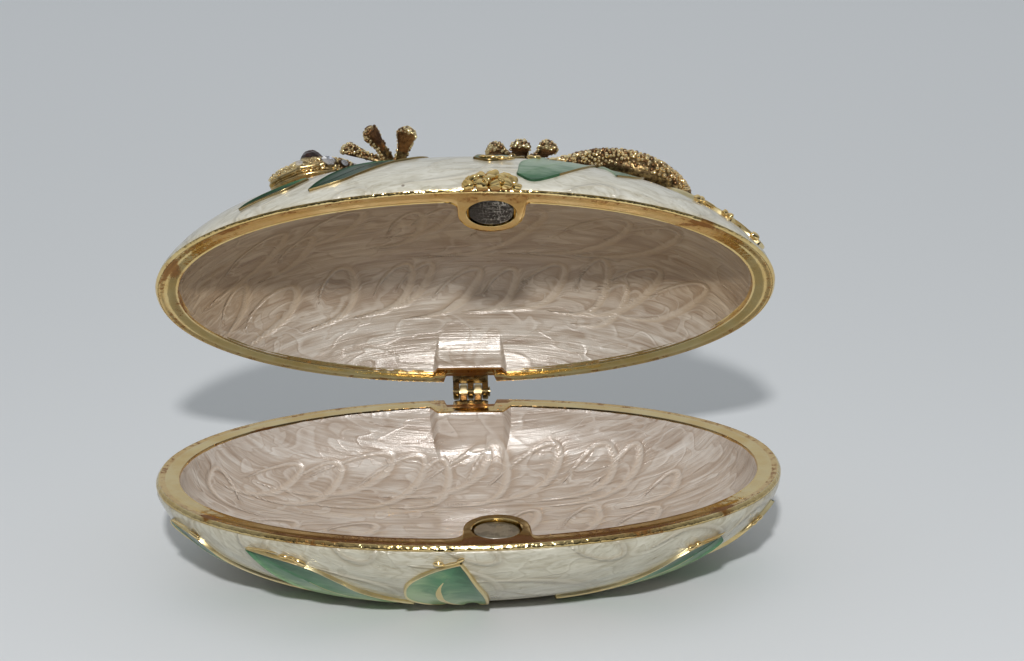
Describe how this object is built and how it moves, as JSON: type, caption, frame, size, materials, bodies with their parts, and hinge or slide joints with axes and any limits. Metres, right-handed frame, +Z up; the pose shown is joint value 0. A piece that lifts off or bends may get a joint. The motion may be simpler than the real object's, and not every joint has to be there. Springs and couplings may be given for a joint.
{
  "type": "hinged trinket box",
  "caption": "Oval cast-metal trinket box with a hinged domed lid, raised leaves, magnets to close it and a jewelled lizard on the crown.",
  "frame": {"origin": "centre of the flat underside", "axes": "+X along the box's length, +Y towards the hinge at the back, +Z up; the lid is modelled open"},
  "size_m": [0.1, 0.0673, 0.0684],
  "materials": {
    "pearl_enamel": "gloss pearl enamel on cast metal, polished gold rims",
    "gold_plate": "polished gold plate with light tarnish",
    "antique_gold": "granulated, darkened in the hollows",
    "magnet_metal": "bare, scratched",
    "red_glass": "dark red faceted glass",
    "clear_crystal": "clear faceted crystal"
  },
  "bodies": {
    "base": {"base_bowl": "pearl_enamel", "base_magnet": "magnet_metal", "base_hinge_leaf": "gold_plate", "hinge_pin": "gold_plate"},
    "lid": {"lid_dome": "pearl_enamel", "lid_magnet": "magnet_metal", "lid_hinge_leaf": "gold_plate", "thumb_piece": "gold_plate", "lizard": "antique_gold", "eye_stone_near": "red_glass", "eye_stone_far": "red_glass", "cheek_stone_near": "clear_crystal", "cheek_stone_far": "clear_crystal", "brow_stone_near": "clear_crystal", "brow_stone_far": "clear_crystal", "neck_stone_near_1": "clear_crystal", "neck_stone_near_2": "clear_crystal", "neck_stone_far_1": "clear_crystal", "neck_stone_far_2": "clear_crystal"}
  },
  "joints": [
    {"name": "lid_hinge", "type": "hinge", "parent": "base", "child": "lid", "pos_m": [0, 0.0334, 0.01625], "axis": [-1, 0, 0], "range_deg": [-49, 31]}
  ]
}
